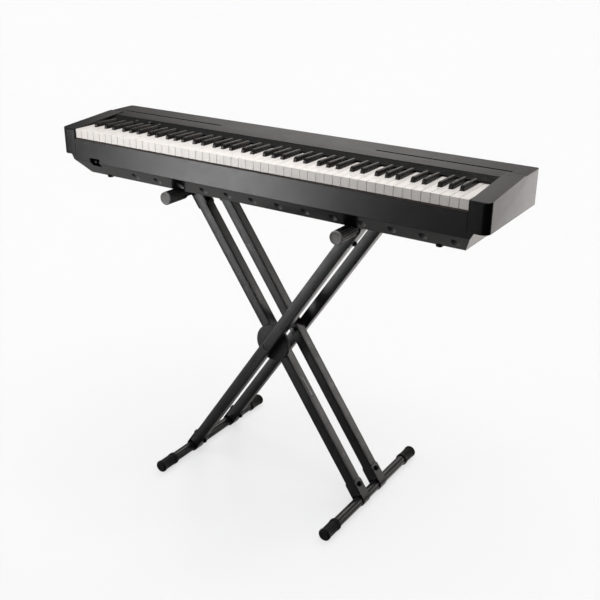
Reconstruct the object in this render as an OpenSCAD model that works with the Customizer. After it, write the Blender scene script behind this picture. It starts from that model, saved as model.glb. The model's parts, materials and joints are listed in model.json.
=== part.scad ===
// Digital piano on a double-braced X stand, in millimetres.
// The floor is z = 0, X runs along the keyboard to the player's right,
// and the player sits on the -Y side. The origin is on the floor, under
// the middle of the stand.

/* [Stand] */
// Angle of each leg from the vertical, in degrees
leg_angle = 34.4; // [30:0.1:38]
// Distance along a leg from the foot tube's axis to the pivot
leg_lower = 524.3; // [500:0.1:560]
// Distance along a leg from the pivot to the top arm's axis
leg_upper = 494.7; // [460:0.1:520]
// Outer width of the square leg tube
leg_w = 32.5; // [32:0.5:33]
// Distance from the middle of the stand to each outer leg's centre plane
outer_y = 93.5; // [92:0.5:110]
// Distance from the middle of the stand to each inner leg's centre plane
inner_y = 49; // [40:0.5:50]
// Overall length of each foot, over its rubber caps
foot_len = 515; // [450:1:600]
// Overall length of the left arm, over its rubber grips
left_arm_len = 376; // [370:1:440]
// Overall length of the right arm, over its rubber grips
right_arm_len = 403; // [396:1:460]
// Outer radius of the foot tubes and top arms
tube_r = 14.5; // [14:0.1:14.6]
// Outer radius of the rubber foot caps
foot_cap_r = 18; // [17.8:0.1:20]
// Outer radius of the ribbed grips on the top arms
grip_r = 18.3; // [17.8:0.1:18.3]
// Radius of the clutch discs at the pivot
disc_r = 55; // [48:1:60]

/* [Piano] */
// Length of the piano along the keyboard
body_w = 1326; // [1322:1:1360]
// Depth of the piano from front to back
body_d = 295; // [293:1:305]
// Number of white keys
white_count = 52; // [52:1:52]
// Distance between neighbouring white keys
key_pitch = 23.5; // [23.4:0.05:23.55]
// How far the middle of the piano sits in front of the middle of the stand
piano_forward = 44.8; // [40:0.1:75]

/* [Hidden] */

tol = 0.05;             // running clearance on a radius
wall = 2;               // wall of the leg tubes
strap = 2.5;            // thickness of the bent U brackets
strap_w = 34;           // width of a U bracket along Y
strap_len = 60;         // from the tube's axis to the bracket's open end
bolt_at = 44;           // from the tube's axis to the bracket's bolt
leg_bolt_r = 4;         // M8 bolt through each bracket and leg
pivot_r = 5;            // M10 pivot bolts
foot_z = foot_cap_r;    // height of the foot tubes' axes
foot_x = leg_lower * sin(leg_angle);
pivot_z = foot_z + leg_lower * cos(leg_angle);
arm_x = leg_upper * sin(leg_angle);
arm_z = pivot_z + leg_upper * cos(leg_angle);
cap_len = 64;           // length of a rubber foot cap
cap_end = 4;            // thickness of a cap's closed end
grip_len = 76;          // length of a rubber grip
strap_in = leg_w / 2 + 0.1;      // half the inner width of a U bracket
strap_out = strap_in + strap;    // and of its outside
half_gap = (outer_y - inner_y - leg_w) / 2; // half the gap between two legs
mid_y = (outer_y + inner_y) / 2;            // middle of that gap

// Keyboard coordinates: y = 0 is the middle of the piano's depth, and z = 0
// is 3 mm above the underside of the end blocks.
deck = -61.3;           // underside of the case
kb_z = arm_z + grip_r + 0.3 - deck;
front = -body_d / 2;
rear = body_d / 2;
keys_w = white_count * key_pitch;
cheek = keys_w / 2 + 2; // inner face of each end block
key_top = 71.2;         // top of the white keys
key_front = -141.9;     // front of the white keys
lip_z = 46.4;           // bottom of a white key's front lip
rod_y = 79;             // hinge rod that all the keys turn on
rod_z = 65;
rod_r = 3;
black_front = -89;      // front of the black keys
black_rear = -8;        // where a black key passes under the panel
black_top = 83;         // top of the black keys
black_w = 10.4;         // width of a black key
notch = 6.7;            // half of the notch that a black key sits in
bevel_z = -17;          // where the front panel meets the bevel
bevel_y = 42.5;         // how far the bevel runs back
strip_y = -5;           // front edge of the sloping control panel
strip_z = 75.8;
panel_z = 83.8;         // its rear edge, level with the top panel
slab_z = 84;            // underside of the rear part of the top panel
grille_y0 = 68;         // front and back of the speaker grilles
grille_y1 = 142;
skin = 3;               // thickness of the case's walls
screw_x0 = -403;        // first case screw
screw_step = 81.75;     // distance between case screws
screw_y = front + 23;
jack_r = 3.2;           // 6.35 mm headphone and pedal jacks

// ---------------------------------------------------------------- helpers

// Places its children in keyboard coordinates.
module kb() {
  translate([0, -piano_forward, kb_z]) children();
}

// A box given by its two opposite corners.
module box(a, b) {
  translate(a) cube(b - a);
}

// A profile drawn in (y, z), extruded along X from x0 to x1.
module slab_x(x0, x1) {
  translate([x0, 0, 0]) rotate([90, 0, 90]) linear_extrude(x1 - x0) children();
}

// A cylinder along Y from y0 to y1.
module rod_along_y(r, y0, y1, sides = 48) {
  translate([0, y0, 0]) rotate([-90, 0, 0]) cylinder(r = r, h = y1 - y0, $fn = sides);
}

// A cylinder along X from x0 to x1.
module rod_along_x(r, x0, x1, sides = 40) {
  translate([x0, 0, 0]) rotate([0, 90, 0]) cylinder(r = r, h = x1 - x0, $fn = sides);
}

// Leg coordinates: origin on the pivot's axis, z up along the leg.
// side = 1 leans to the right at the top, side = -1 to the left.
module leg_frame(side, y = 0) {
  translate([0, y, pivot_z]) rotate([0, side * leg_angle, 0]) children();
}

// ------------------------------------------------------------------ stand

module leg(side, y, access) {
  low = -leg_lower + tube_r + 2;
  high = leg_upper - tube_r - 2;
  leg_frame(side, y) difference() {
    box([-leg_w / 2, -leg_w / 2, low], [leg_w / 2, leg_w / 2, high]);
    box([-leg_w / 2 + wall, -leg_w / 2 + wall, low - 1],
        [leg_w / 2 - wall, leg_w / 2 - wall, high + 1]);
    rod_along_y(pivot_r + tol, -leg_w, leg_w);
    if (access != 0) translate([0, access * leg_w / 2, 0])
      rod_along_y(9, -leg_w / 2 + 1, leg_w / 2 - 1);
    for (z = [-leg_lower + bolt_at, leg_upper - bolt_at])
      translate([0, 0, z]) rod_along_x(leg_bolt_r + tol, -leg_w, leg_w);
  }
}

// Bent strap that passes round a tube and holds the end of a leg.
// up = 1 for the foot, -1 for the arm.
module u_bracket(up) {
  bend = up * (strap_in - tube_r - 0.1);
  long = strap_len - abs(bend);
  difference() {
    translate([0, strap_w / 2, 0]) rotate([90, 0, 0]) linear_extrude(strap_w)
      translate([0, bend]) difference() {
        union() {
          circle(r = strap_out, $fn = 64);
          translate([-strap_out, min(0, up * long)]) square([2 * strap_out, long]);
        }
        circle(r = strap_in, $fn = 64);
        translate([-strap_in, min(0, up * (long + 1))])
          square([2 * strap_in, long + 1]);
      }
    translate([0, 0, up * bolt_at])
      rod_along_x(leg_bolt_r + tol, -leg_w, leg_w);
  }
}

module leg_ends(side, y) {
  leg_frame(side) for (s = [-1, 1]) {
    translate([0, s * y, -leg_lower]) u_bracket(1);
    translate([0, s * y, leg_upper]) u_bracket(-1);
  }
}

// Hex bolt across a leg, with its washer and nut as separate solids.
module leg_bolt() {
  face = strap_out;
  rod_along_x(leg_bolt_r, -face, face + 8);
  translate([-face - 5, 0, 0]) rotate([0, 90, 0]) cylinder(r = 7, h = 5, $fn = 6);
  difference() {
    translate([face + 0.05, 0, 0]) rotate([0, 90, 0]) cylinder(r = 7, h = 6.4, $fn = 6);
    rod_along_x(leg_bolt_r + tol, 0, face + 9);
  }
}

module leg_bolt_set(side, y) {
  leg_frame(side) for (s = [-1, 1], z = [-leg_lower + bolt_at, leg_upper - bolt_at])
    translate([0, s * y, z]) leg_bolt();
}

module outer_leg_front() { color("#202022") leg(1, -outer_y, -1); }
module outer_leg_rear() { color("#202022") leg(1, outer_y, 1); }
module inner_leg_front() { color("#232325") leg(-1, -inner_y, 0); }
module inner_leg_rear() { color("#232325") leg(-1, inner_y, 0); }
module outer_brackets() { color("#1b1b1d") leg_ends(1, outer_y); }
module inner_brackets() { color("#1b1b1d") leg_ends(-1, inner_y); }
module outer_leg_bolts() { color("#3c3c40") leg_bolt_set(1, outer_y); }
module inner_leg_bolts() { color("#3c3c40") leg_bolt_set(-1, inner_y); }

// Round tube along Y with open ends.
module cross_tube(length) {
  difference() {
    rod_along_y(tube_r, -length / 2, length / 2, 64);
    rod_along_y(tube_r - wall, -length / 2 - 1, length / 2 + 1, 64);
  }
}

module left_foot_tube() {
  color("#202022") translate([-foot_x, 0, foot_z])
    cross_tube(foot_len - 2 * cap_end - 0.6);
}
module right_foot_tube() {
  color("#202022") translate([foot_x, 0, foot_z])
    cross_tube(foot_len - 2 * cap_end - 0.6);
}
module right_arm_tube() {
  color("#202022") translate([arm_x, 0, arm_z])
    cross_tube(right_arm_len - 2 * cap_end - 0.6);
}
module left_arm_tube() {
  color("#202022") translate([-arm_x, 0, arm_z])
    cross_tube(left_arm_len - 2 * cap_end - 0.6);
}

// Rubber cap for the -Y end of a foot tube, its closed end at y = 0.
module foot_cap() {
  bore = tube_r + tol;
  rotate([-90, 0, 0]) rotate_extrude($fn = 64) polygon([
    [0, 0], [foot_cap_r - 4, 0], [foot_cap_r - 1.2, 1.2], [foot_cap_r, 4],
    [foot_cap_r, cap_len - 1], [foot_cap_r - 1, cap_len],
    [bore, cap_len], [bore, cap_end], [0, cap_end]]);
}

module foot_caps(x) {
  translate([x, 0, foot_z]) {
    translate([0, -foot_len / 2, 0]) foot_cap();
    mirror([0, 1, 0]) translate([0, -foot_len / 2, 0]) foot_cap();
  }
}
module left_foot_caps() { color("#151516") foot_caps(-foot_x); }
module right_foot_caps() { color("#151516") foot_caps(foot_x); }

// Ribbed rubber grip for the -Y end of an arm, its closed end at y = 0.
module grip() {
  ribs = 26;
  groove = 1.1;
  bore = tube_r + tol;
  rotate([-90, 0, 0]) difference() {
    cylinder(r = grip_r, h = grip_len, $fn = 96);
    translate([0, 0, cap_end]) cylinder(r = bore, h = grip_len, $fn = 64);
    for (i = [0:ribs - 1]) rotate([0, 0, (i + 0.5) * 360 / ribs])
      translate([grip_r + 0.3, 0, 5]) cylinder(r = groove, h = grip_len, $fn = 16);
  }
}

module grips(x, length) {
  translate([x, 0, arm_z]) {
    translate([0, -length / 2, 0]) grip();
    mirror([0, 1, 0]) translate([0, -length / 2, 0]) grip();
  }
}
module right_arm_grips() { color("#29292b") grips(arm_x, right_arm_len); }
module left_arm_grips() { color("#29292b") grips(-arm_x, left_arm_len); }

// Stamped clutch disc: a plate against the leg and a rim towards the gap's
// middle. It is drawn with its leg on the +Y side.
module clutch_disc() {
  plate = 3;
  rim = 5;
  run = 0.15;
  difference() {
    rod_along_y(disc_r, run, half_gap, 96);
    rod_along_y(disc_r - rim, -1, half_gap - plate, 96);
    rod_along_y(pivot_r + tol, -1, half_gap + 1);
  }
}

module inner_clutch_disc() {
  color("#2b2b2e") translate([0, -mid_y, pivot_z]) clutch_disc();
}
module outer_clutch_disc() {
  color("#2b2b2e") translate([0, -mid_y, pivot_z]) mirror([0, 1, 0]) clutch_disc();
}

// Friction ring fixed to the inner disc. It stops just short of the outer one.
module clutch_lining() {
  color("#6b5a48") translate([0, -mid_y, pivot_z]) difference() {
    rod_along_y(disc_r - 7, -half_gap + 3.15, half_gap - 3, 80);
    rod_along_y(22, -half_gap, half_gap, 64);
  }
}

// Pivot bolt drawn from its head, at y = 0, towards +Y; the nut is apart.
module pivot_bolt() {
  grip = leg_w + 2 * half_gap + wall;
  translate([0, -6, 0]) rotate([-90, 0, 0]) cylinder(r = 8.2, h = 6, $fn = 6);
  rod_along_y(pivot_r, 0, grip + 10);
  difference() {
    translate([0, grip + 0.3, 0]) rotate([-90, 0, 0]) cylinder(r = 8.2, h = 8, $fn = 6);
    rod_along_y(pivot_r + tol, 0, grip + 12);
  }
}

module pivot_bolts() {
  start = -outer_y + leg_w / 2 - wall;
  color("#6e6e73") translate([0, 0, pivot_z]) {
    translate([0, start, 0]) pivot_bolt();
    mirror([0, 1, 0]) translate([0, start, 0]) pivot_bolt();
  }
}

// Bush that keeps the rear legs apart, on the rear pivot bolt.
module pivot_spacer() {
  color("#3c3c40") translate([0, mid_y, pivot_z]) difference() {
    rod_along_y(13, -half_gap + 0.15, half_gap);
    rod_along_y(pivot_r + tol, -half_gap - 1, half_gap + 1);
  }
}

// Push button in the front leg's access hole, over the pivot bolt's head.
module release_button() {
  color("#0e0e0f") translate([0, -outer_y - leg_w / 2, pivot_z]) {
    rod_along_y(8.7, 1, 11);
    rod_along_y(4, 0.2, 1);
  }
}

module blank_label() {
  color("#d9d9da") leg_frame(-1, -inner_y)
    box([leg_w / 2, -7, -195], [leg_w / 2 + 0.3, 7, -125]);
}

// ------------------------------------------------------------- piano case

// Front view of the case below the end blocks: it narrows downwards.
function taper(inset) = [[-630 + inset, 60], [-630 + inset, -3],
  [-597 + inset, deck + inset], [597 - inset, deck + inset],
  [630 - inset, -3], [630 - inset, 60]];

module taper_block(inset) {
  translate([0, rear + 1, 0]) rotate([90, 0, 0])
    linear_extrude(body_d + 2) polygon(taper(inset));
}

module case_profile() {
  polygon([[front, bevel_z], [front + bevel_y, deck], [rear - 7.5, deck],
    [rear, -3], [front + 4, -3], [front + 4, bevel_z]]);
}

module case_cavity() {
  polygon([[front + 7, -2], [front + 7, bevel_z - 2], [front + bevel_y + 2, deck + skin],
    [rear - 10, deck + skin], [rear - skin, -2]]);
}

module screw_places() {
  for (i = [0:12]) translate([screw_x0 + i * screw_step, screw_y, 0]) children();
}

// Recess for the headphone jacks in the front of the case.
module headphone_recess() {
  box([-556, front - 1, -30], [-520, front + 12, -5]);
}

module lower_case() {
  color("#1a1a1b") kb() difference() {
    intersection() {
      slab_x(-640, 640) case_profile();
      taper_block(0);
    }
    difference() {
      intersection() {
        slab_x(-640, 640) case_cavity();
        taper_block(skin);
      }
      screw_places() translate([0, 0, deck]) cylinder(r = 12.5, h = 50, $fn = 48);
    }
    screw_places() {
      translate([0, 0, deck - 5]) cylinder(r = 10, h = 39.3, $fn = 40);
      translate([0, 0, deck]) cylinder(r = 1.8, h = 48.5, $fn = 24);
    }
    headphone_recess();
    box([-558, front + 12, -32], [-518, front + 30, -1]);
  }
}

module case_screws() {
  color("#77777b") kb() screw_places() translate([0, 0, -27]) {
    translate([0, 0, -2.4]) cylinder(r = 3.8, h = 2.4, $fn = 32);
    cylinder(r = 1.75, h = 10, $fn = 24);
  }
}

module piano_feet() {
  color("#111112") kb() for (x = [-528, 528], y = [-98, 122])
    translate([x, y, deck - 6]) cylinder(r = 9, h = 6, $fn = 40);
}

module front_panel() {
  top = 43.8;
  color("#1c1c1d") kb() difference() {
    union() {
      box([-cheek + 0.4, front, -3], [cheek - 0.4, front + 3.8, top]);
      intersection() {
        box([-640, front, bevel_z], [640, front + 3.8, -3]);
        taper_block(0);
      }
    }
    headphone_recess();
  }
}

module key_felt() {
  color("#2b221f") kb() box([-keys_w / 2, front + 0.3, 43.8], [keys_w / 2, front + 3.6, 46]);
}

// Side view of an end block.
module end_profile() {
  polygon([[front, -3], [front, 66], [front + 1.4, 69.3], [front + 5, 70.8],
    [54, 88], [57, 87.6], [59, slab_z], [rear, slab_z], [rear, -3]]);
}

// Plan view of the right end block, with its rounded outer corners.
module end_plan() {
  r = 18;
  out = body_w / 2;
  translate([cheek, front]) square([out - r - cheek, body_d]);
  translate([cheek, front + r]) square([out - cheek, body_d - r - 8]);
  translate([cheek, rear - 9]) square([out - 8 - cheek, 9]);
  translate([out - r, front + r]) circle(r = r, $fn = 64);
  translate([out - 8, rear - 8]) circle(r = 8, $fn = 48);
}

module end_block() {
  difference() {
    intersection() {
      slab_x(cheek, body_w / 2) end_profile();
      translate([0, 0, -10]) linear_extrude(110) end_plan();
    }
    box([cheek - 1, front + 8, 0], [body_w / 2 - skin - 1, rear - 6, 58]);
    box([cheek - 1, grille_y0 - 1, slab_z - 3.2], [cheek + 13, grille_y1 + 1, slab_z + 1]);
  }
}

module end_block_right() { color("#1d1d1e") kb() end_block(); }
module end_block_left() { color("#1d1d1e") kb() mirror([1, 0, 0]) end_block(); }

module top_panel() {
  slot_y = 79;
  out = body_w / 2;
  r = 8;
  color("#242425") kb() difference() {
    union() {
      slab_x(-cheek + 0.4, cheek - 0.4)
        polygon([[27, 81], [27, 84.4], [61, 86.4], [61, slab_z], [58, slab_z], [58, 81]]);
      intersection() {
        slab_x(-out, out)
          polygon([[59.4, slab_z], [59.4, 85.8], [62, 86.4], [rear, 87.2], [rear, slab_z]]);
        translate([0, 0, slab_z - 1]) linear_extrude(6) {
          translate([-out, 50]) square([2 * out, rear - 50 - r]);
          translate([-out + r, 50]) square([2 * (out - r), rear - 50]);
          for (s = [-1, 1]) translate([s * (out - r), rear - r]) circle(r = r, $fn = 48);
        }
      }
    }
    for (s = [-1, 1])
      box([s * 437 - 185, slot_y - 1.6, slab_z - 1], [s * 437 + 185, slot_y + 1.6, 90]);
  }
}

module control_panel() {
  color("#0c0c0d") kb() difference() {
    slab_x(-cheek + 0.4, cheek - 0.4)
      polygon([[strip_y, strip_z - 2.4], [strip_y, strip_z], [26.8, panel_z],
        [26.8, panel_z - 3.1], [strip_y + 3, strip_z - 2.4]]);
    on_strip(-514) cylinder(r = 5.3, h = 20, center = true, $fn = 40);
    on_strip(-427) cylinder(r = 4.3, h = 20, center = true, $fn = 40);
    on_strip(-463) box([-18, -1.8, -10], [18, 1.8, 10]);
  }
}

// Middle of the sloping control panel's upper face at x, with z square to it.
module on_strip(x) {
  slope = atan((panel_z - strip_z) / (26.8 - strip_y));
  translate([x, (26.8 + strip_y) / 2, (panel_z + strip_z) / 2])
    rotate([slope, 0, 0]) children();
}

module push_button(x, r) {
  color("#2e2e30") kb() on_strip(x) {
    translate([0, 0, -4]) cylinder(r = r, h = 5, $fn = 40);
    translate([0, 0, -6]) cylinder(r = r + 1.2, h = 2, $fn = 40);
  }
}

module power_button() { push_button(-514, 5); }
module function_button() { push_button(-427, 4); }

module volume_slider() {
  color("#3a3a3c") kb() on_strip(-463) {
    box([-3.5, -4, 0.3], [3.5, 4, 3]);
    box([-2, -1.5, -6], [2, 1.5, 0.3]);
  }
}

module rear_panel() {
  color("#1a1a1b") kb() difference() {
    box([-cheek + 0.4, rear - skin, -3], [cheek - 0.4, rear, slab_z]);
    box([-524.2, rear - 5, 21.8], [-425.8, rear + 1, 44.2]);
  }
}

// Pedal jack, power inlet and square data socket, in one moulded block.
module rear_jacks() {
  back = rear - 0.5;
  color("#101011") kb() difference() {
    box([-524, rear - 22, 22], [-426, back, 44]);
    translate([-505, 0, 33]) rod_along_y(jack_r, back - 16, back + 1);
    translate([-480, 0, 33]) rod_along_y(2.8, back - 10, back + 1);
    box([-458.5, back - 9, 27.5], [-446.5, back + 1, 38.5]);
  }
}

module headphone_jacks() {
  mouth = front + 12;
  color("#101011") kb() difference() {
    box([-556, mouth, -30], [-520, mouth + 17, -5]);
    for (x = [-547, -529]) translate([x, 0, -17.5])
      rod_along_y(jack_r, mouth - 1, mouth + 14);
  }
}

// ---------------------------------------------------------- piano inside

module stadium(half, r, h) {
  for (s = [-1, 1]) translate([s * half, 0, 0]) cylinder(r = r, h = h, $fn = 48);
  box([-half, -r, 0], [half, r, h]);
}

module speakers() {
  color("#3b3b3e") kb() for (s = [-1, 1]) translate([s * 440, 118, 0]) {
    difference() {
      translate([0, 0, 77.2]) stadium(32, 24, 4);
      translate([0, 0, 79]) stadium(32, 20, 4);
    }
    translate([0, 0, 60]) cylinder(r1 = 14, r2 = 22, h = 17.2, $fn = 48);
    translate([0, 0, 46]) cylinder(r = 17, h = 14, $fn = 48);
  }
}

module speaker_grilles() {
  color("#4a3c36") kb() for (s = [-1, 1])
    box([s * 437 - 188, grille_y0, slab_z - 2.8], [s * 437 + 188, grille_y1, slab_z]);
}

module key_bed() {
  hold = 1.3;
  color("#8c8c90") kb() difference() {
    union() {
      box([-cheek + 2.5, front + 9, 18], [cheek - 2.5, 92, 21]);
      box([-cheek + 2.5, front + 9, 21], [cheek - 2.5, front + 15, 33]);
      box([-cheek + 2.5, 88, 21], [cheek - 2.5, 92, 74]);
      for (i = [2:7:51]) translate([-keys_w / 2 + i * key_pitch + 0.3, 0, 0])
        box([-hold, rod_y - 6, 21], [hold, 88, rod_z + 5]);
      for (x = [-560, 0, 560], y = [-80, 60])
        translate([x, y, deck + skin]) cylinder(r = 8, h = 18 - deck - skin, $fn = 32);
    }
    translate([0, rod_y, rod_z]) rod_along_x(rod_r + tol, -cheek, cheek);
  }
}

module key_rod() {
  color("#b0b0b4") kb() translate([0, rod_y, rod_z])
    rod_along_x(rod_r, -keys_w / 2 - 0.5, keys_w / 2 + 0.5);
}

module main_board() {
  base = deck + skin;
  color("#1d5c3a") kb() {
    box([-520, 50, base + 8], [-300, 135, base + 9.6]);
    for (x = [-510, -310], y = [58, 127])
      translate([x, y, base]) cylinder(r = 4, h = 8, $fn = 32);
    for (i = [0:3]) box([-500 + i * 50, 80, base + 9.6], [-474 + i * 50, 106, base + 12.6]);
  }
}

// ------------------------------------------------------------------- keys

// Sideways offset of the black key on the boundary before white key k of an
// octave that starts at C, or undef where no black key stands there.
function black_shift(k) = [undef, -3, 3, undef, -4.3, 0, 4.3][k % 7];

// How far the notch cuts into the left or right side of white key n,
// counted from the keyboard's lowest key, an A.
function cut_left(n) = n == 0 ? 0 :
  black_shift(n + 5) == undef ? 0 : notch + black_shift(n + 5);
function cut_right(n) = n == white_count - 1 ? 0 :
  black_shift(n + 6) == undef ? 0 : notch - black_shift(n + 6);

module white_key(n) {
  side = 0.5;
  x0 = -keys_w / 2 + n * key_pitch;
  x1 = x0 + key_pitch;
  t0 = x0 + max(side, cut_left(n));
  t1 = x1 - max(side, cut_right(n));
  mid = (t0 + t1) / 2;
  difference() {
    union() {
      box([x0 + side, key_front, key_top - 9], [x1 - side, black_front - 1.5, key_top]);
      box([x0 + side, key_front, lip_z], [x1 - side, key_front + 3, key_top - 9]);
      box([t0, black_front - 1.5, key_top - 9], [t1, rod_y - 7, key_top]);
      box([mid - 4.5, rod_y - 7, rod_z - 6], [mid + 4.5, rod_y + 6, key_top]);
    }
    translate([mid, rod_y, rod_z]) rod_along_x(rod_r + tol, -8, 8);
  }
}

// Black key on the boundary before white key n.
module black_key(n) {
  x = -keys_w / 2 + n * key_pitch + black_shift(n + 5);
  half = black_w / 2;
  translate([x, 0, 0]) difference() {
    union() {
      slab_x(-half, half) polygon([[black_front, key_top - 9], [black_front + 0.8, key_top],
        [black_front + 5, black_top], [black_rear, black_top - 1.5], [black_rear, key_top - 9]]);
      box([-3.4, black_rear, key_top - 9], [3.4, rod_y - 7, key_top]);
      box([-3.4, rod_y - 7, rod_z - 6], [3.4, rod_y + 6, key_top]);
    }
    translate([0, rod_y, rod_z]) rod_along_x(rod_r + tol, -8, 8);
  }
}

// The white keys first to last, and the black keys that stand between the
// white keys first to last.
module white_run(first, last) {
  color("#f2f0ec") kb() for (n = [first:last]) white_key(n);
}
module black_run(first, last) {
  color("#161413") kb() for (n = [first:last])
    if (n > 0 && black_shift(n + 5) != undef) black_key(n);
}

module bass_white_keys() { white_run(0, 22); }
module bass_black_keys() { black_run(0, 22); }
module treble_white_keys() { white_run(30, 51); }
module treble_black_keys() { black_run(31, 51); }
module key_c4() { white_run(23, 23); }
module key_d4() { white_run(24, 24); }
module key_e4() { white_run(25, 25); }
module key_f4() { white_run(26, 26); }
module key_g4() { white_run(27, 27); }
module key_a4() { white_run(28, 28); }
module key_b4() { white_run(29, 29); }
module key_c4_sharp() { black_run(24, 24); }
module key_d4_sharp() { black_run(25, 25); }
module key_f4_sharp() { black_run(27, 27); }
module key_g4_sharp() { black_run(28, 28); }
module key_a4_sharp() { black_run(29, 29); }

left_foot_caps();
left_foot_tube();
outer_leg_front();
outer_leg_rear();
outer_brackets();
outer_leg_bolts();
right_arm_tube();
right_arm_grips();
outer_clutch_disc();
pivot_bolts();
pivot_spacer();
release_button();
right_foot_caps();
right_foot_tube();
inner_leg_front();
inner_leg_rear();
inner_brackets();
inner_leg_bolts();
left_arm_tube();
left_arm_grips();
inner_clutch_disc();
clutch_lining();
blank_label();
lower_case();
case_screws();
piano_feet();
front_panel();
key_felt();
end_block_left();
end_block_right();
top_panel();
control_panel();
rear_panel();
speakers();
speaker_grilles();
key_bed();
key_rod();
main_board();
rear_jacks();
headphone_jacks();
power_button();
function_button();
volume_slider();
bass_white_keys();
bass_black_keys();
treble_white_keys();
treble_black_keys();
key_c4();
key_d4();
key_e4();
key_f4();
key_g4();
key_a4();
key_b4();
key_c4_sharp();
key_d4_sharp();
key_f4_sharp();
key_g4_sharp();
key_a4_sharp();
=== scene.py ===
"""Looks for the digital piano on its folding X stand.

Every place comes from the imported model: the stand's joints and tube boxes, and
the keys' hinge, which fixes the keyboard coordinates that part of this script
uses in millimetres.
"""
import json
from math import atan2, cos, hypot, pi, radians, sin, sqrt, tan

import bmesh
import bpy
from mathutils import Matrix, Vector
from mathutils.geometry import tessellate_polygon


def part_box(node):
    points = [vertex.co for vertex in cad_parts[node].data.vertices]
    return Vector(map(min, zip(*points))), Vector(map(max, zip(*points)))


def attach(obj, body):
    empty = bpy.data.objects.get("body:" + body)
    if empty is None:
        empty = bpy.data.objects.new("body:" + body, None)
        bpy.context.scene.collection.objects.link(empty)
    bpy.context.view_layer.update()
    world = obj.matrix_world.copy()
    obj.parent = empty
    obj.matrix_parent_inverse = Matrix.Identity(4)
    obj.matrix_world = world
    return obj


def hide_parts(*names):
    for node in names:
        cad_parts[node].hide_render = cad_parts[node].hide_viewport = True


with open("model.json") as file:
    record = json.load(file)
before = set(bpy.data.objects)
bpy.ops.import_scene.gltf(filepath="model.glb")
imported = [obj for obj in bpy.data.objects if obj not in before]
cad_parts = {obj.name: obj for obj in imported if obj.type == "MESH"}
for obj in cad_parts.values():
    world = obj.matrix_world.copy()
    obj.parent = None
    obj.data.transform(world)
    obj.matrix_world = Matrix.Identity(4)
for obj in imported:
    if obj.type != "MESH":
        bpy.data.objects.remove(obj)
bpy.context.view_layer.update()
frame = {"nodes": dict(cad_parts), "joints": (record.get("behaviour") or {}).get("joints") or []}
scene = bpy.context.scene
MM = 0.001

# ---------------- places
joint = {j["name"]: j for j in frame["joints"]}
fold = Vector(joint["stand_fold"]["pos_m"]) / MM
pivot = Vector(joint["stand_scissor"]["pos_m"]) / MM
hinge = Vector(joint["key_c4_press"]["pos_m"]) / MM
ROD_Y, ROD_Z = 79.0, 65.0  # the key hinge in keyboard coordinates
KB = Vector((0, hinge.y - ROD_Y, hinge.z - ROD_Z))  # their origin
LEAN = atan2(-fold.x, pivot.z - fold.z)  # of the legs, from upright
LOWER = hypot(fold.x, pivot.z - fold.z)  # leg length from the pivot to the foot


def box_mm(node):
    lo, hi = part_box(node)
    return Vector(lo) / MM, Vector(hi) / MM


def centre(node):
    lo, hi = box_mm(node)
    return (lo + hi) / 2


def extent(node, axis):
    lo, hi = box_mm(node)
    return hi[axis] - lo[axis]


# the stand: leg length, rows of legs, sections and radii
arm = centre("right_arm_tube")
UPPER = hypot(arm.x, arm.z - pivot.z)  # from the pivot to the arm
OUTER_Y = -centre("outer_leg_front").y
INNER_Y = -centre("inner_leg_front").y
LEG = extent("outer_leg_front", 1)
TUBE = extent("left_foot_tube", 2) / 2
CAP_R, FOOT_LEN = extent("left_foot_caps", 0) / 2, extent("left_foot_caps", 1)
GRIP_R = extent("left_arm_grips", 0) / 2
DISC_R = extent("inner_clutch_disc", 0) / 2
GAP = (OUTER_Y - INNER_Y - LEG) / 2  # half the room between two legs
MID_Y = (OUTER_Y + INNER_Y) / 2

# the case, in keyboard coordinates: x from the middle, y to the back, z up
DECK = box_mm("lower_case")[0].z - KB.z  # its flat bottom
REAR = extent("lower_case", 1) / 2
FRONT = -REAR
OUT = box_mm("top_panel")[1].x
SIDE, SIDE_BASE = 630, 597  # half widths of the lower case
SEAM, SILL = -3, -17  # panel joint, top of the front bevel
SHELF, ROOF = 43.8, 84  # tops of the front and rear panels
SCREWS, SCREW_X, SCREW_STEP = 13, -403, 81.75
SCREW_Y, SCREW_Z = FRONT + 23, -27
RECESS_X, RECESS_Z = (-556, -520), (-30, -5)
BACK_JACKS_X, BACK_JACKS_Z = (-524, -426), (22, 44)
POWER_X, VOLUME_X, FUNCTION_X = -514, -463, -427
SPEAKER_X, SLOT_HALF = 437, 181
STRIP = ((-5.0, 75.8), (26.8, 83.8))  # front and back edge of the control strip

# the keys
PITCH = 23.5
WHITES = 52
KEYS_W = PITCH * WHITES
CHEEK = KEYS_W / 2 + 2
INNER = CHEEK - 0.4  # half width between the end blocks
KEY_TOP, KEY_FRONT, LIP = 71.2, -141.9, 46.4  # lip: underside of the front
BLACK_FRONT, BLACK_REAR, BLACK_TOP = -89.0, -8.0, 83.0
BLACK_BASE, TAIL_HALF = 62.2, 3.4
KEY_REAR = ROD_Y - 7
SIDE_GAP = 0.5  # from a white key to its boundary
NOTCH = 6.7  # from a black key's middle to the white tail beside it


# ---------------- mesh tools
def at(*m):
    """A placing function that takes millimetres through the matrices to metres."""
    full = Matrix.Identity(4)
    for each in m:
        full = full @ each
    return lambda x, y, z: (full @ Vector((x, y, z))) * MM


def move(x, y, z):
    return Matrix.Translation((x, y, z))


def turn(angle, axis):
    return Matrix.Rotation(angle, 4, axis)


KEYB = at(move(*KB))  # keyboard coordinates
ALONG_Y = turn(-pi / 2, "X")  # local z turned to y
ALONG_X = turn(pi / 2, "Y")  # local z turned to x
BACK_Y = turn(pi / 2, "X")  # local z turned to -y


def in_case(x, y, z, *turns):
    """A placing function round a point in keyboard coordinates."""
    return at(move(*KB), move(x, y, z), *turns)


def along(x, y, z, way=1):
    """A placing function whose local z points to y, or to -y where way is -1."""
    return at(move(x, y, z), ALONG_Y if way > 0 else BACK_Y)


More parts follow.
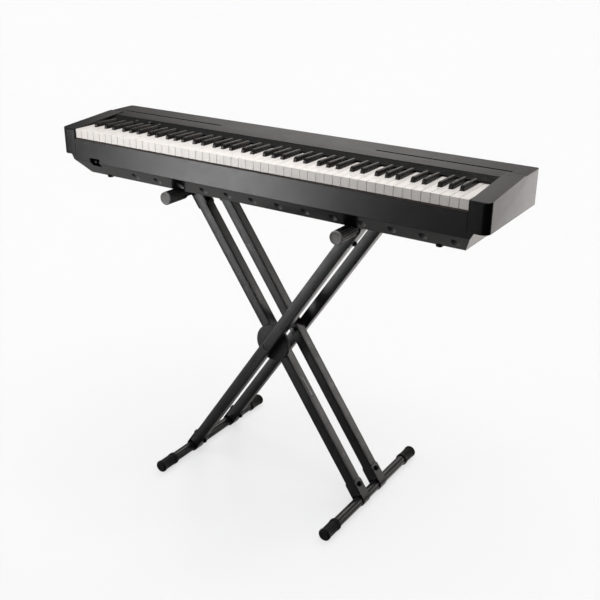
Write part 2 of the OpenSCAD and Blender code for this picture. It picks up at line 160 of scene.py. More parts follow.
def leg_matrix(side, y):
    return move(pivot.x, y, pivot.z) @ turn(side * LEAN, "Y")


def ring_face(bm, a, b):
    """Faces between two rings, where a ring may be one vertex repeated."""
    n = len(a)
    for i in range(n):
        j = (i + 1) % n
        if a[i] is a[j]:
            bm.faces.new((a[i], b[j], b[i]))
        elif b[i] is b[j]:
            bm.faces.new((a[i], a[j], b[i]))
        else:
            bm.faces.new((a[i], a[j], b[j], b[i]))


def loft(bm, rings, closed=False):
    """Joins rings of points into one skin, capped at its ends or closed to a loop."""
    made = [[bm.verts.new(p) for p in r] for r in rings]
    for a, b in zip(made, made[1:]):
        ring_face(bm, a, b)
    if closed:
        ring_face(bm, made[-1], made[0])
    else:
        bm.faces.new(made[0])
        bm.faces.new(made[-1])


def lathe(bm, profile, place, sides=48, closed=False, wave=None):
    """Turns (radius, height) pairs round the local z axis."""
    rings = []
    for r, h in profile:
        if r < 1e-6:
            v = bm.verts.new(place(0, 0, h))
            rings.append([v] * sides)
            continue
        ring = []
        for i in range(sides):
            a = 2 * pi * i / sides
            q = r if wave is None else r - wave(a, h)
            ring.append(bm.verts.new(place(q * cos(a), q * sin(a), h)))
        rings.append(ring)
    for a, b in zip(rings, rings[1:]):
        ring_face(bm, a, b)
    if closed:
        ring_face(bm, rings[-1], rings[0])


def prism(bm, loops, place, a, b):
    """Extrudes an outline and its holes from height a to height b."""
    if not isinstance(loops[0][0], (list, tuple)):
        loops = [loops]
    flat = [p for l in loops for p in l]
    low = [bm.verts.new(place(u, v, a)) for u, v in flat]
    top = [bm.verts.new(place(u, v, b)) for u, v in flat]
    if len(loops) == 1:
        bm.faces.new(low)
        bm.faces.new(top)
    else:
        for t in tessellate_polygon([[Vector((u, v, 0)) for u, v in l] for l in loops]):
            bm.faces.new([low[i] for i in t])
            bm.faces.new([top[i] for i in t])
    start = 0
    for l in loops:
        n = len(l)
        for i in range(n):
            j = (i + 1) % n
            bm.faces.new((low[start + i], low[start + j], top[start + j], top[start + i]))
        start += n


def slab_x(place):
    """A placing function for outlines drawn in (y, z) and extruded along x."""
    return lambda u, v, w: place(w, u, v)


def slab_y(place):
    """The same for outlines drawn in (x, z) and extruded along y."""
    return lambda u, v, w: place(u, w, v)


def cells(bm, xs, ys, zs, place, inside=lambda *cell: True):
    """The skin of the grid cells that inside(i, j, k) accepts."""
    cache = {}

    def vert(i, j, k):
        if (i, j, k) not in cache:
            cache[i, j, k] = bm.verts.new(place(xs[i], ys[j], zs[k]))
        return cache[i, j, k]

    nx, ny, nz = len(xs) - 1, len(ys) - 1, len(zs) - 1

    def full(i, j, k):
        return 0 <= i < nx and 0 <= j < ny and 0 <= k < nz and inside(i, j, k)

    for i in range(nx):
        for j in range(ny):
            for k in range(nz):
                if not full(i, j, k):
                    continue
                for axis in range(3):
                    for step in (0, 1):
                        d = [0, 0, 0]
                        d[axis] = 1 if step else -1
                        if full(i + d[0], j + d[1], k + d[2]):
                            continue
                        u, v = [q for q in range(3) if q != axis]
                        face = []
                        for cu, cv in ((0, 0), (1, 0), (1, 1), (0, 1)):
                            p = [i, j, k]
                            p[axis] += step
                            p[u] += cu
                            p[v] += cv
                            face.append(vert(*p))
                        bm.faces.new(face)


def clean(bm, angle=0.4):
    """Merges doubled vertices and flat neighbours; the angle is in degrees."""
    bmesh.ops.remove_doubles(bm, verts=bm.verts, dist=2e-6)
    bmesh.ops.recalc_face_normals(bm, faces=bm.faces)
    bmesh.ops.dissolve_limit(bm, angle_limit=radians(angle),
                             verts=bm.verts, edges=bm.edges)


def add(name, data):
    obj = bpy.data.objects.new(name, data)
    scene.collection.objects.link(obj)
    return obj


def to_mesh(bm, name="t"):
    me = bpy.data.meshes.new(name)
    bm.to_mesh(me)
    bm.free()
    return me


def second_look(bm, first):
    """Gives the second material to the faces from number first on."""
    bm.faces.ensure_lookup_table()
    for f in bm.faces[first:]:
        f.material_index = 1


def combine(bm, other, op="DIFFERENCE"):
    """bm with other cut out, joined on or kept where both are."""
    made = []
    for b in (bm, other):
        bmesh.ops.recalc_face_normals(b, faces=b.faces)
        made.append(add("t", to_mesh(b)))
    mod = made[0].modifiers.new("b", "BOOLEAN")
    mod.operation, mod.solver, mod.object = op, "EXACT", made[1]
    bpy.context.view_layer.update()
    shown = made[0].evaluated_get(bpy.context.evaluated_depsgraph_get())
    me = bpy.data.meshes.new_from_object(shown)
    out = bmesh.new()
    out.from_mesh(me)
    bpy.data.meshes.remove(me)
    for o in made:
        data = o.data
        bpy.data.objects.remove(o)
        bpy.data.meshes.remove(data)
    clean(out)
    return out


def piece(name, bm, looks, body, bevel=0, segments=3, angle=30, sharp=35):
    """Shows the bmesh on a body in place of the node of that name.

    looks names its materials, and bevel rounds its edges by that many millimetres."""
    bmesh.ops.recalc_face_normals(bm, faces=bm.faces)
    for f in bm.faces:
        f.smooth = True
    me = to_mesh(bm, name)
    looks = looks.split()
    for look in looks:
        me.materials.append(MAT[look])
    obj = add(name, me)
    if bevel:
        mod = obj.modifiers.new("edges", "BEVEL")
        mod.width = bevel * MM
        mod.segments = segments
        mod.limit_method = "ANGLE"
        mod.angle_limit = radians(angle)
        mod.harden_normals = True
        mod.use_clamp_overlap = True
    else:
        me.set_sharp_from_angle(angle=radians(sharp))
    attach(obj, body)
    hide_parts(name)


# ---------------- materials
MAT = {}


class Nodes:
    """A node tree, with shorthands for adding to it."""

    def __init__(self, tree):
        self.tree = tree

    def put(self, value, socket):
        if hasattr(value, "is_linked"):
            self.tree.links.new(value, socket)
        else:
            socket.default_value = value

    def node(self, kind, ins=None, **props):
        n = self.tree.nodes.new(kind)
        for k, v in props.items():
            setattr(n, k, v)
        for k, v in (ins or {}).items():
            self.put(v, n.inputs[k])
        return n

    def maths(self, op, a, b=0.0):
        return self.node("ShaderNodeMath", {0: a, 1: b}, operation=op).outputs[0]

    def blend(self, fac, a, b):
        a, b = (c if hasattr(c, "is_linked") else (*c, 1) for c in (a, b))
        return self.node("ShaderNodeMix", {0: fac, 6: a, 7: b}, data_type="RGBA").outputs[2]


class Shader(Nodes):
    """A Principled material whose nodes read object coordinates."""

    def __init__(self, name, colour, rough, spec=0.5, metal=0.0, coat=0.0,
                 coat_rough=0.1, sheen=0.0):
        MAT[name] = self.mat = bpy.data.materials.new(name)
        self.mat.use_nodes = True
        super().__init__(self.mat.node_tree)
        self.bsdf = self.tree.nodes["Principled BSDF"]
        self.where = self.node("ShaderNodeTexCoord").outputs["Object"]
        self.colour = colour
        self.set("Base Color", (*colour, 1))
        self.set("Roughness", rough)
        self.set("Specular IOR Level", spec)
        self.set("Metallic", metal)
        self.set("Coat Weight", coat)
        self.set("Coat Roughness", coat_rough)
        self.set("Sheen Weight", sheen)
        self.normal = None

    def set(self, socket, value):
        self.put(value, self.bsdf.inputs[socket])

    def noise(self, scale, detail=3.0, rough=0.55, stretch=None, warp=0.0):
        where = self.where
        if stretch:
            where = self.node("ShaderNodeMapping", {0: where, "Scale": stretch}).outputs[0]
        ins = {"Vector": where, "Scale": scale, "Detail": detail, "Roughness": rough,
               "Distortion": warp}
        return self.node("ShaderNodeTexNoise", ins).outputs["Fac"]

    def cell(self, scale, feature="F1"):
        return self.node("ShaderNodeTexVoronoi", {"Vector": self.where, "Scale": scale},
                         feature=feature).outputs["Distance"]

    def wave(self, scale, axis):
        return self.node("ShaderNodeTexWave", {"Vector": self.where, "Scale": scale},
                         wave_type="BANDS", bands_direction=axis).outputs["Fac"]

    def span(self, value, a, b, c, d):
        return self.node("ShaderNodeMapRange", {"Value": value, "From Min": a,
                         "From Max": b, "To Min": c, "To Max": d}).outputs[0]

    def shade(self, k, tint=(1, 1, 1)):
        return tuple(min(1.0, c * k * t) for c, t in zip(self.colour, tint))

    def vary(self, fac, low, high, tint=(1, 1, 1)):
        """Colour from darker to lighter as fac goes from 0.3 to 0.7."""
        out = self.blend(self.span(fac, 0.3, 0.7, 0, 1), self.shade(low), self.shade(high, tint))
        self.set("Base Color", out)
        return out

    def spots(self, fac, base, colour):
        """Lays a colour over the base where fac says."""
        out = self.blend(fac, base, colour)
        self.set("Base Color", out)
        return out

    def roughness(self, fac, low, high):
        self.set("Roughness", self.span(fac, 0.3, 0.7, low, high))

    def paint_edge_highlight(self, colour, amount, base):
        """Painted edge highlight: convex edges painted paler, broken up by noise."""
        point = self.node("ShaderNodeNewGeometry").outputs["Pointiness"]
        edge = self.span(point, 0.53, 0.62, 0, 1)
        broken = self.span(self.noise(45, 5, 0.7), 0.42, 0.66, 0, amount)
        self.spots(self.maths("MULTIPLY", edge, broken), base, colour)

    def bump(self, height, strength, distance):
        ins = {"Height": height, "Strength": strength, "Distance": distance}
        if self.normal is not None:
            ins["Normal"] = self.normal
        self.normal = self.node("ShaderNodeBump", ins).outputs[0]
        self.set("Normal", self.normal)
        if self.bsdf.inputs["Coat Weight"].default_value > 0:
            self.set("Coat Normal", self.normal)


def powder(name, colour, rough, spec):
    """Satin powder coat: orange peel, specks of dust and a painted highlight along the edges."""
    s = Shader(name, colour, rough, spec)
    base = s.vary(s.noise(7, 4, 0.6), 0.78, 1.25, (1.0, 1.0, 1.03))
    base = s.spots(s.span(s.noise(520, 2, 0.5), 0.66, 0.74, 0, 0.03), base, s.shade(3.2))
    # painted highlight: the edges are painted paler
    s.paint_edge_highlight(s.shade(4.0), 0.12, base)
    s.roughness(s.noise(26, 5, 0.65), rough - 0.04, rough + 0.06)
    s.bump(s.noise(850, 2, 0.45), 0.22, 0.0003)
    s.bump(s.cell(1500), 0.09, 0.0002)


def moulded(name, colour, rough, spec, grain=1400, depth=0.35, streak=0.0, lift=1.3):
    """Moulded plastic with a fine spark-eroded grain, handling marks and a painted highlight
    along the edges.
    """
    s = Shader(name, colour, rough, spec)
    base = s.vary(s.noise(5, 5, 0.62), 0.8, lift)
    base = s.spots(s.span(s.noise(900, 3, 0.6), 0.62, 0.74, 0, 0.08), base, s.shade(4.0))
    # painted highlight: the edges are painted paler
    s.paint_edge_highlight(s.shade(3.5), 0.3, base)
    s.roughness(s.noise(21, 6, 0.75), rough - 0.03, rough + 0.04)
    s.bump(s.noise(grain, 3, 0.6), depth, 0.00035)
    s.bump(s.cell(grain * 1.7), depth * 0.5, 0.0002)
    if streak:
        s.bump(s.noise(9, 2, 0.5, stretch=(0.4, 1, 1)), streak, 0.004)


def rubber(name, colour, rough, spec):
    """Matt rubber, chalky in places, with a painted highlight along the edges."""
    s = Shader(name, colour, rough, spec)
    base = s.vary(s.noise(38, 5, 0.65), 0.72, 1.35, (1.04, 1.0, 0.97))
    base = s.spots(s.span(s.noise(16, 6, 0.75), 0.55, 0.78, 0, 0.22), base, s.shade(3.4))
    # painted highlight: the edges are painted paler
    s.paint_edge_highlight(s.shade(4.5), 0.6, base)
    s.roughness(s.noise(80, 4, 0.6), rough - 0.08, rough + 0.08)
    s.bump(s.noise(900, 4, 0.7), 0.35, 0.0005)
    s.bump(s.cell(420), 0.12, 0.0005)


def metal(name, colour, rough, brushed=None):
    """Bare or plated metal with stains, brushed along one direction or not."""
    s = Shader(name, colour, rough, 0.5, metal=1.0)
    base = s.vary(s.noise(60, 5, 0.7), 0.7, 1.2, (1.0, 0.99, 0.96))
    stain = s.span(s.noise(180, 6, 0.7), 0.56, 0.72, 0, 0.3)
    s.spots(stain, base, s.shade(0.35, (1.1, 1.0, 0.9)))
    s.roughness(s.noise(240, 4, 0.6), rough - 0.08, rough + 0.14)
    if brushed:
        s.bump(s.noise(220, 3, 0.6, stretch=brushed), 0.25, 0.0003)
    s.bump(s.noise(700, 3, 0.6), 0.12, 0.0003)


powder("stand_steel", (0.0085, 0.0085, 0.009), 0.3, 0.66)
powder("disc_steel", (0.026, 0.026, 0.027), 0.46, 0.55)
rubber("stand_rubber", (0.008, 0.008, 0.0084), 0.56, 0.3)
rubber("grip_rubber", (0.024, 0.024, 0.0245), 0.4, 0.5)
rubber("grip_end", (0.17, 0.17, 0.17), 0.5, 0.4)
metal("zinc", (0.2, 0.2, 0.21), 0.38)
metal("black_bolt", (0.035, 0.034, 0.034), 0.42)
metal("bare_steel", (0.5, 0.5, 0.52), 0.32, brushed=(0.02, 1, 1))
moulded("case_black", (0.0065, 0.0065, 0.007), 0.18, 0.5, depth=0.11, streak=0.025)
moulded("case_end", (0.0065, 0.0065, 0.007), 0.21, 0.4, depth=0.16, lift=1.6)
moulded("case_top", (0.0085, 0.0082, 0.0085), 0.3, 0.38, grain=1700, depth=0.3)
# painted light: a pale grey for the screw pockets' walls, in place of the light falling on the
# black case plastic
moulded("pocket_wall", (0.16, 0.16, 0.16), 0.5, 0.4)
moulded("control_grey", (0.045, 0.045, 0.047), 0.42, 0.4)


def one_off_materials():
    s = Shader("panel_gloss", (0.003, 0.003, 0.0033), 0.2, 0.16, coat=0.05, coat_rough=0.08)
    base = s.vary(s.noise(6, 4), 0.8, 1.3)
    smear = s.noise(22, 6, 0.72, stretch=(1, 3, 3), warp=1.2)
    s.spots(s.span(smear, 0.55, 0.75, 0, 0.3), base, s.shade(3.5))
    s.roughness(smear, 0.12, 0.3)
    s.bump(s.noise(1500, 3, 0.6), 0.06, 0.0002)
    s.bump(s.noise(14, 1), 0.05, 0.002)

    s = Shader("key_white", (0.76, 0.725, 0.695), 0.3, 0.42, coat=0.15, coat_rough=0.12)
    s.set("Subsurface Weight", 0.04)
    s.set("Subsurface Radius", (0.004, 0.003, 0.002))
    base = s.vary(s.noise(11, 4, 0.6, stretch=(4, 1, 1)), 0.965, 1.03, (1.0, 0.995, 0.985))
    grime = s.span(s.noise(140, 5, 0.7), 0.58, 0.8, 0, 0.12)
    s.spots(grime, base, s.shade(0.72, (1.0, 0.97, 0.9)))
    s.roughness(s.noise(55, 5, 0.65), 0.24, 0.4)
    s.bump(s.noise(1100, 2, 0.5), 0.05, 0.0002)
    s.bump(s.noise(240, 3, 0.5, stretch=(1, 0.12, 1)), 0.04, 0.0003)

    s = Shader("key_black", (0.008, 0.0074, 0.007), 0.27, 0.42)
    base = s.vary(s.noise(30, 5, 0.6, stretch=(3, 1, 1)), 0.75, 1.4, (1.05, 1.0, 0.95))
    # painted highlight: the keys' edges are painted paler
    s.paint_edge_highlight(s.shade(3.0), 0.15, base)
    s.roughness(s.noise(30, 3, 0.5), 0.22, 0.3)
    s.bump(s.noise(1000, 2, 0.5, stretch=(1, 0.04, 1)), 0.06, 0.0003)
    s.bump(s.cell(2200), 0.04, 0.0002)

    s = Shader("felt", (0.052, 0.041, 0.037), 0.95, 0.08)
    s.vary(s.noise(320, 6, 0.75), 0.6, 1.4)
    s.roughness(s.noise(90, 3), 0.88, 1.0)
    s.bump(s.noise(2200, 6, 0.8, stretch=(0.5, 1, 1)), 0.8, 0.0008)

    s = Shader("grille_cloth", (0.03, 0.024, 0.021), 0.9, 0.2, sheen=0.3)
    weave = s.maths("MULTIPLY", s.wave(380, "X"), s.wave(380, "Y"))
    s.spots(weave, s.shade(0.35), s.shade(1.5))
    s.roughness(s.noise(60), 0.82, 0.98)
    s.bump(weave, 0.9, 0.0006)

    s = Shader("lining", (0.17, 0.13, 0.1), 0.85, 0.2)
    s.vary(s.noise(400, 6, 0.75), 0.5, 1.5, (1.0, 0.95, 0.9))
    s.roughness(s.noise(100), 0.75, 0.95)
    s.bump(s.cell(900), 0.6, 0.0006)

    s = Shader("board", (0.012, 0.085, 0.04), 0.34, 0.5)
    tracks = s.span(s.cell(190, "DISTANCE_TO_EDGE"), 0.02, 0.07, 1, 0)
    base = s.vary(s.noise(20, 4), 0.8, 1.25)
    s.spots(s.maths("MULTIPLY", tracks, 0.6), base, s.shade(2.6))
    s.roughness(s.noise(120), 0.28, 0.42)
    s.bump(tracks, 0.4, 0.0003)

    s = Shader("label_film", (0.012, 0.012, 0.013), 0.3, 0.45)
    s.vary(s.noise(90, 5, 0.7), 0.8, 1.3)
    s.roughness(s.noise(40, 5), 0.22, 0.4)
    s.bump(s.noise(260, 3), 0.12, 0.0003)

    s = Shader("label_white", (0.62, 0.62, 0.62), 0.42, 0.4)
    s.vary(s.noise(420, 4, 0.7), 0.86, 1.06)
    s.roughness(s.noise(70), 0.35, 0.5)
    s.bump(s.noise(700, 3), 0.1, 0.0002)


one_off_materials()


# ---------------- fasteners
def hexagon(a, across):
    """Radius of a hexagon with the given corner radius, at angle a."""
    part = (a % (pi / 3)) - pi / 6
    return across * cos(pi / 6) / cos(part)


def hex_head(bm, place, r, a, b, bore=0.0, both=False, dish=0.0):
    """Hexagon from height a to b with its corners turned off at b, or at both."""
    flat = r * cos(pi / 6) * 0.95
    sides = 48
    sign = 1 if b > a else -1
    rings = []

    def ring(radius, height):
        out = []
        for i in range(sides):
            t = 2 * pi * (i + 0.5) / sides
            q, h = radius(t), height(t)
            out.append(bm.verts.new(place(q * cos(t), q * sin(t), h)))
        rings.append(out)

    def drop(t):
        return (hexagon(t, r) - flat) * 0.5

    if bore:
        ring(lambda t: bore, lambda t: a)
    ring(lambda t: flat, lambda t: a)
    ring(lambda t: hexagon(t, r), lambda t: a + sign * (drop(t) if both else 0.02))
    ring(lambda t: hexagon(t, r), lambda t: b - sign * drop(t))
    ring(lambda t: flat, lambda t: b)
    if dish:
        ring(lambda t: flat * 0.8, lambda t: b)
        ring(lambda t: flat * 0.72, lambda t: b - sign * dish)
    if bore:
        ring(lambda t: bore, lambda t: b)
    for p, q in zip(rings, rings[1:]):
        ring_face(bm, p, q)
    if bore:
        ring_face(bm, rings[-1], rings[0])
    else:
        bm.faces.new(rings[0])
        bm.faces.new(rings[-1])


def thread(r, a, b, pitch=1.25, depth=0.45):
    """(radius, height) of a rolled thread from a to its free end b."""
    out, h = [(0, a), (r - depth, a)], a
    while h + pitch < b - 1:
        out += [(r - depth, h), (r, h + pitch * 0.45), (r, h + pitch * 0.55)]
        h += pitch
    return out + [(r - depth, h), (r - depth - 0.6, b), (0, b)]


def washer(bm, place, r, bore, a, b):
    """Flat washer from height a to b with its outer edges broken."""
    c = min(0.35, (b - a) / 3)
    lathe(bm, [(bore, a), (r - c, a), (r, a + c), (r, b - c), (r - c, b), (bore, b)],
          place, 40, closed=True)


# ---------------- stand
def rounded(u, v, r, n=5):
    """Outline of a rectangle with half sizes u and v and corners of radius r."""
    out = []
    for k, (su, sv) in enumerate(((1, 1), (-1, 1), (-1, -1), (1, -1))):
        for i in range(n + 1):
            a = pi / 2 * (k + i / n)
            out.append((su * (u - r) + r * cos(a), sv * (v - r) + r * sin(a)))
    return out


WALL = 2  # of the legs and the tubes


def leg(name, side, y, access, body):
    """Square tube; access is -1 or 1 for a bolt hole in its front or rear face."""
    place = at(leg_matrix(side, y))
    low, high = -LOWER + TUBE + 2, UPPER - TUBE - 2
    bm = bmesh.new()
    skin, edge, bore = (rounded(w / 2, w / 2, r) for w, r in
                        ((LEG, 2.2), (LEG - 0.6, 1.9), (LEG - 2 * WALL, 1.0)))
    rings = [[place(u, v, h) for u, v in ring] for ring, h in
             ((bore, low), (edge, low), (skin, low + 0.3),
              (skin, high - 0.3), (edge, high), (bore, high))]
    loft(bm, rings, closed=True)
    if access:
        cut = bmesh.new()
        hole = at(leg_matrix(side, y), ALONG_Y if access > 0 else BACK_Y)
        lathe(cut, [(0, 8), (9.0, 8), (9.0, LEG / 2 - 0.8), (10.2, LEG / 2 + 0.4),
                    (10.2, LEG), (0, LEG)], hole, 48)
        bm = combine(bm, cut)
    piece(name, bm, "stand_steel", body, sharp=40)


for who, side, row, access in (("outer", 1, OUTER_Y, 1), ("inner", -1, INNER_Y, 0)):
    leg(who + "_leg_front", side, -row, -access, who + "_frame")
    leg(who + "_leg_rear", side, row, access, who + "_frame")

STRAP_W, STRAP_LEN, BOLT_AT = 34.0, 60.0, 44.0
STRAP_IN = LEG / 2 + 0.1
STRAP_OUT = STRAP_IN + 2.5
WASHER, HEAD_R = 1.1, 7.0


def bracket(bm, place, up):
    """Strap bent round a tube, its two flanges rounded at their free corners."""
    inner, outer, r = STRAP_IN, STRAP_OUT, 8.0
    bend = STRAP_IN - TUBE - 0.1
    down = (0, 0.25, 0.7, 1.5, 2.7, 4.2, 6.0, r, 14, 26, 38, 50)
    stations = [(pi, STRAP_LEN - d, d) for d in down]
    stations += [(pi + pi * i / 24, bend, 99) for i in range(25)]
    stations += [(2 * pi, STRAP_LEN - d, d) for d in reversed(down)]
    rings = []
    for a, h, d in stations:
        w = STRAP_W / 2
        if d < r:
            w -= r - sqrt(r * r - (r - d) ** 2)
        ring = []
        for q, s in ((inner, -1), (inner, 1), (outer, 1), (outer, -1)):
            edge = w - (0.5 if q == outer else 0)
            ring.append(place(q * cos(a), s * edge, up * (q * sin(a) + h)))
        mid = outer - 0.5
        ring.insert(2, place(mid * cos(a), w, up * (mid * sin(a) + h)))
        ring.append(place(mid * cos(a), -w, up * (mid * sin(a) + h)))
        rings.append(ring)
    loft(bm, rings)


def leg_hardware(side, y0, who, body):
    """Brackets at both ends of a pair of legs, with a bolt through each."""
    straps, bolts = bmesh.new(), bmesh.new()
    face = STRAP_OUT
    for s in (-1, 1):
        for up, end in ((1, -LOWER), (-1, UPPER)):
            m = leg_matrix(side, s * y0) @ move(0, 0, end)
            bracket(straps, at(m), up)
            bolt = at(m, move(0, 0, up * BOLT_AT), ALONG_X)
            washer(bolts, bolt, 8.0, 3.9, -face - WASHER, -face)
            hex_head(bolts, bolt, HEAD_R, -face - WASHER, -face - 5.0, dish=0.5)
            washer(bolts, bolt, 8.0, 3.9, face, face + WASHER)
            hex_head(bolts, bolt, HEAD_R, face + WASHER, face + 6.4, bore=3.6, both=True)
            lathe(bolts, thread(4.0, face - 2, face + 8.0), bolt, 24)
    piece(who + "_brackets", straps, "stand_steel", body, sharp=32)
    piece(who + "_leg_bolts", bolts, "black_bolt", body, sharp=28)


leg_hardware(1, OUTER_Y, "outer", "outer_frame")
leg_hardware(-1, INNER_Y, "inner", "inner_frame")


def round_tube(name, x, z, body):
    bm = bmesh.new()
    h = extent(name, 1) / 2
    lathe(bm, [(TUBE - WALL, -h), (TUBE - 0.3, -h), (TUBE, -h + 0.3), (TUBE, h - 0.3),
               (TUBE - 0.3, h), (TUBE - WALL, h)], along(x, 0, z), 64, closed=True)
    piece(name, bm, "stand_steel", body)


round_tube("left_foot_tube", fold.x, fold.z, "outer_frame")
round_tube("right_foot_tube", -fold.x, fold.z, "inner_frame")
round_tube("right_arm_tube", arm.x, arm.z, "outer_frame")
round_tube("left_arm_tube", -arm.x, arm.z, "inner_frame")
SLEEVE = TUBE + 0.05  # bore of the rubber that sits on a tube


def arc(cx, cz, r, a0, a1, n):
    """n + 1 points of an arc from angle a0 to a1, in degrees."""
    return [(cx + r * cos(radians(a0 + (a1 - a0) * i / n)),
             cz + r * sin(radians(a0 + (a1 - a0) * i / n))) for i in range(n + 1)]


def foot_caps(name, x, body):
    """Moulded rubber caps with a domed end and a lip at the mouth."""
    bm = bmesh.new()
    waist, base = CAP_R - 1.3, 4.0
    for s in (-1, 1):
        place = along(x, s * FOOT_LEN / 2, fold.z, -s)
        prof = [(0, 0.6), (CAP_R * 0.45, 0.35), (CAP_R * 0.66, 0.1)]
        prof += arc(CAP_R - 5.0, 5.0, 5.0, -90, 0, 8)
        prof += [(CAP_R, 9.5), (waist + 0.25, 12.0), (waist, 14.0), (waist, 50.0),
                 (waist + 0.2, 51.5)]
        prof += arc(CAP_R - 1.6, 54.6, 1.6, -60, 0, 4)
        prof += [(CAP_R, 62.0)] + arc(CAP_R - 1.2, 62.8, 1.2, 0, 90, 4)
        prof += [(SLEEVE + 0.6, 64.0), (SLEEVE, 63.4), (SLEEVE, base), (0, base)]
        lathe(bm, prof, place, 72)
    piece(name, bm, "stand_rubber", body, sharp=50)


foot_caps("left_foot_caps", fold.x, "left_foot")
foot_caps("right_foot_caps", -fold.x, "inner_frame")


def grips(name, x, body):
    """Rubber grips with lengthwise ribs and a smooth end disc."""
    bm = bmesh.new()
    ribs, long, base = 16, 76.0, 4.0
    half_groove, deep, start = 0.31, 2.5, 5.5

    def groove(a, h):
        if h < start or h > long - 0.5:
            return 0.0
        ease = min(1.0, (h - start) / 1.5)
        t = (a * ribs / (2 * pi)) % 1.0
        g = max(0.0, 1 - ((t - 0.5) / half_groove) ** 2)
        return deep * sqrt(g) * ease

    reach = extent(name, 1) / 2
    sides = ribs * 16
    for s in (-1, 1):
        place = along(x, s * reach, arm.z, -s)
        prof = [(SLEEVE, long), (GRIP_R - 0.5, long)]
        prof += [(GRIP_R, h) for h in (long - 0.6, long - 1.2, 50, 7.5, 6.4, 5.4, 4.2)]
        lathe(bm, prof, place, sides, wave=groove)
        first = len(bm.faces)
        face = [(GRIP_R, 4.2)] + arc(GRIP_R - 2.4, 2.4, 2.4, 0, -90, 6)
        face += [(GRIP_R - 3.6, 0.0), (GRIP_R - 4.3, 0.5), (6, 0.35), (0, 0.3)]
        lathe(bm, face, place, sides)
        second_look(bm, first)
        lathe(bm, [(SLEEVE, long), (SLEEVE, base), (0, base)], place, sides)
    bmesh.ops.remove_doubles(bm, verts=bm.verts, dist=1e-6)
    piece(name, bm, "grip_rubber grip_end", body, sharp=48)


grips("left_arm_grips", -arm.x, "inner_frame")
grips("right_arm_grips", arm.x, "outer_frame")


BOLT_R = 5.0  # the pivot bolts


def clutch_disc(name, way, body):
    """Stamped plate with a deep rim that faces the other disc."""
    bm = bmesh.new()
    place = along(pivot.x, -MID_Y, pivot.z, way)
    bore, inside = BOLT_R + 0.05, DISC_R - 5.0
    prof = [(bore, GAP - 3), (19, GAP - 3), (inside - 2.4, GAP - 3), (inside - 1, GAP - 3.4),
            (inside, GAP - 4.6), (inside, 0.6), (inside + 0.4, 0.15), (DISC_R - 0.8, 0.15),
            (DISC_R, 0.9)]
    prof += [(DISC_R, GAP - 2.6)] + arc(DISC_R - 2.4, GAP - 2.4, 2.4, 0, 90, 6)
    prof += [(bore, GAP)]
    lathe(bm, prof, place, 128, closed=True)
    piece(name, bm, "disc_steel", body, sharp=40)


clutch_disc("inner_clutch_disc", 1, "inner_frame")
clutch_disc("outer_clutch_disc", -1, "outer_frame")


def pivot_bolts():
    bm = bmesh.new()
    grip = LEG + 2 * GAP + 2
    start = -OUTER_Y + LEG / 2 - 2
    for s in (1, -1):
        place = along(pivot.x, s * start, pivot.z, s)
        hex_head(bm, place, 8.2, 0, -6.0, dish=0.6)
        lathe(bm, [(0, -0.5), (BOLT_R, -0.5), (BOLT_R, grip), (0, grip)], place, 40)
        lathe(bm, thread(BOLT_R, grip - 1, grip + 10, 1.5), place, 32)
        hex_head(bm, place, 8.2, grip + 0.3, grip + 8.3, bore=4.4, both=True)
    piece("pivot_bolts", bm, "zinc", "outer_frame", sharp=28)


pivot_bolts()

bm = bmesh.new()
lathe(bm, [(5.05, -GAP + 0.15), (12.4, -GAP + 0.15), (13, -GAP + 0.75), (13, GAP - 0.6),
           (12.4, GAP), (5.05, GAP)], along(0, MID_Y, pivot.z), 64, closed=True)
piece("pivot_spacer", bm, "bare_steel", "outer_frame")

bm = bmesh.new()
lathe(bm, [(0, 0.9), (3.0, 0.75), (3.9, 0.2), (4.4, 0.9), (6.0, 1.15), (7.9, 1.1),
           (8.55, 1.5), (8.7, 2.2), (8.7, 11), (0, 11)],
      along(0, -OUTER_Y - LEG / 2, pivot.z), 56)
piece("release_button", bm, "control_grey", "release")


def label():
    """Blank film on the side of the front inner leg: a dark plate and a pale bar."""
    place = at(leg_matrix(-1, -INNER_Y), move(LEG / 2, 0, -160), ALONG_X)
    bm = bmesh.new()
    prism(bm, rounded(35, 7, 2, 4), place, 0.0, 0.2)
    first = len(bm.faces)
    prism(bm, rounded(28, 2.6, 0.8, 4), place, 0.15, 0.3)
    second_look(bm, first)
    piece("blank_label", bm, "label_film label_white", "inner_frame")


label()


# ---------------- case
def lower_case():
    """Body with sloped front and ends, pockets for its screws and a recess."""
    bm, front_view, cuts = bmesh.new(), bmesh.new(), bmesh.new()
    prism(bm, [(FRONT, SILL), (FRONT + 42.5, DECK), (REAR - 7.5, DECK), (REAR, SEAM),
               (FRONT + 4, SEAM), (FRONT + 4, SILL)], slab_x(KEYB), -640, 640)
    prism(front_view, [(-SIDE, 60), (-SIDE, SEAM), (-SIDE_BASE, DECK), (SIDE_BASE, DECK),
                       (SIDE, SEAM), (SIDE, 60)], slab_y(KEYB), FRONT - 1, REAR + 1)
    bm = combine(bm, front_view, "INTERSECT")
    for i in range(SCREWS):
        lathe(cuts, [(0, DECK - 5), (10.6, DECK - 5), (10, SCREW_Z), (0, SCREW_Z)],
              in_case(SCREW_X + i * SCREW_STEP, SCREW_Y, 0), 40)
    cells(cuts, RECESS_X, [FRONT - 1, FRONT + 12], RECESS_Z, KEYB)
    # two long shallow fields between the feet
    for x0, x1 in ((-500, -20), (20, 500)):
        cells(cuts, [x0, x1], [-70, 100], [DECK - 1, DECK + 1.6], KEYB)
    bm = combine(bm, cuts)
    # painted light: the pockets' walls get the second material, a pale grey that stands in for
    # the light on their lit side
    for f in bm.faces:
        spot = f.calc_center_median() / MM - KB
        off = (spot.x - SCREW_X + 40) % SCREW_STEP - 40
        if abs(f.normal.z) < 0.3 and hypot(off, spot.y - SCREW_Y) < 10.8:
            f.material_index = 1
    piece("lower_case", bm, "case_black pocket_wall", "piano", bevel=1.0)


lower_case()


